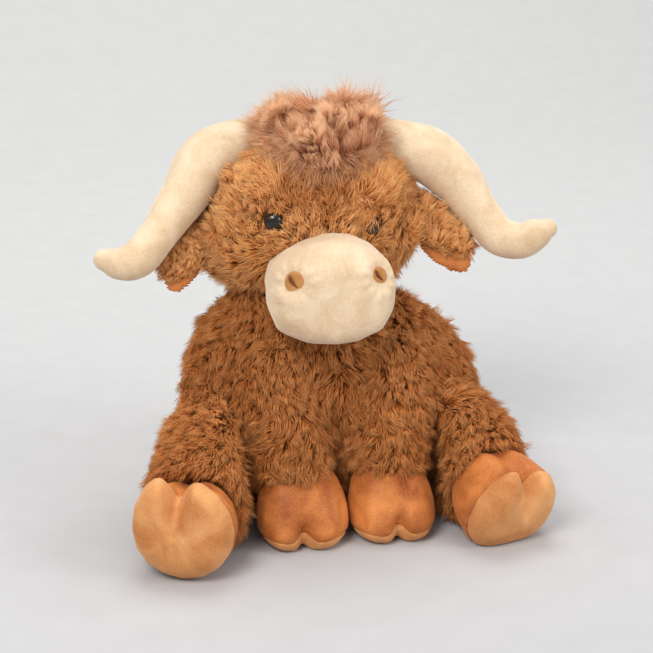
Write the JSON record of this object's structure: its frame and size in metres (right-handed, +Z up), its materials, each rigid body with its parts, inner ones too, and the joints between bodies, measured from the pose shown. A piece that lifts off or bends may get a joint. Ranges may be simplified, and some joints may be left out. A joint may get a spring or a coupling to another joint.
{
  "type": "plush cow",
  "caption": "Sitting shaggy long-horned plush cow with a soft body, floppy ears, swinging legs and a nodding head.",
  "frame": {"origin": "middle of the seat, on the floor it sits on", "axes": "+Z up, -Y the way the toy faces, +X its own left"},
  "size_m": [0.2765, 0.2536, 0.2743],
  "materials": {
    "long_pile_fur": "long soft pile, about 12 mm, combed downwards and tousled",
    "short_cream_plush": "short dense pile, matte",
    "tan_suede": "suede cloth with a dark slit",
    "black_eye": "polished black",
    "white_washer": "moulded",
    "burnt_orange_satin": "satin-like short plush",
    "light_orange_satin": "satin-like short plush, lighter",
    "mauve_brown_hair": "long straight pile in locks, paler tips",
    "polyester_filling": "loose fibre",
    "pellet_bag_cloth": "plain woven bag of pellets"
  },
  "bodies": {
    "torso": {"body_cover": "long_pile_fur", "body_stuffing": "polyester_filling", "pellet_bag": "pellet_bag_cloth"},
    "head": {"head_cover": "long_pile_fur", "head_stuffing": "polyester_filling", "muzzle": "short_cream_plush", "nostril_left": "tan_suede", "nostril_right": "tan_suede", "eye_left": "black_eye", "eye_right": "black_eye", "eye_washer_left": "white_washer", "eye_washer_right": "white_washer", "horn_left": "short_cream_plush", "horn_right": "short_cream_plush", "forelock": "mauve_brown_hair"},
    "ear_left": {"ear_left": "long_pile_fur", "ear_lining_left": "burnt_orange_satin"},
    "ear_right": {"ear_right": "long_pile_fur", "ear_lining_right": "burnt_orange_satin"},
    "front_leg_left": {"front_leg_left": "long_pile_fur", "front_hoof_left": "burnt_orange_satin", "front_sole_left": "light_orange_satin"},
    "front_leg_right": {"front_leg_right": "long_pile_fur", "front_hoof_right": "burnt_orange_satin", "front_sole_right": "light_orange_satin"},
    "hind_leg_left": {"hind_leg_left": "long_pile_fur", "hind_hoof_left": "burnt_orange_satin", "hind_sole_left": "light_orange_satin"},
    "hind_leg_right": {"hind_leg_right": "long_pile_fur", "hind_hoof_right": "burnt_orange_satin", "hind_sole_right": "light_orange_satin"},
    "tail": {"tail": "long_pile_fur", "tail_tuft": "mauve_brown_hair"}
  },
  "joints": [
    {"name": "head_nod", "type": "hinge", "parent": "torso", "child": "head", "pos_m": [-0.0085, 0.004, 0.14], "axis": [1, 0, 0], "range_deg": [-10, 4], "stiffness_Nm_per_rad": 1},
    {"name": "ear_droop_left", "type": "hinge", "parent": "head", "child": "ear_left", "pos_m": [0.05392, -0.01548, 0.16742], "axis": [-0.342, 0.9397, 0], "range_deg": [0, 20], "stiffness_Nm_per_rad": 0.02},
    {"name": "ear_droop_right", "type": "hinge", "parent": "head", "child": "ear_right", "pos_m": [-0.06969, -0.01469, 0.16202], "axis": [-0.1736, -0.9848, 0], "range_deg": [0, 20], "stiffness_Nm_per_rad": 0.02},
    {"name": "front_leg_swing_left", "type": "hinge", "parent": "torso", "child": "front_leg_left", "pos_m": [0.034, -0.018, 0.104], "axis": [-1, 0, 0], "range_deg": [0, 25], "stiffness_Nm_per_rad": 0.1},
    {"name": "front_leg_swing_right", "type": "hinge", "parent": "torso", "child": "front_leg_right", "pos_m": [-0.034, -0.018, 0.104], "axis": [-1, 0, 0], "range_deg": [0, 25], "stiffness_Nm_per_rad": 0.1},
    {"name": "hind_leg_spread_left", "type": "hinge", "parent": "torso", "child": "hind_leg_left", "pos_m": [0.068, -0.014, 0.046], "axis": [0, 0, 1], "range_deg": [0, 20], "stiffness_Nm_per_rad": 0.2},
    {"name": "hind_leg_spread_right", "type": "hinge", "parent": "torso", "child": "hind_leg_right", "pos_m": [-0.068, -0.03, 0.046], "axis": [0, 0, -1], "range_deg": [0, 20], "stiffness_Nm_per_rad": 0.2},
    {"name": "tail_wag", "type": "hinge", "parent": "torso", "child": "tail", "pos_m": [0, 0.07, 0.085], "axis": [0, 0, 1], "range_deg": [-30, 30], "stiffness_Nm_per_rad": 0.01}
  ]
}
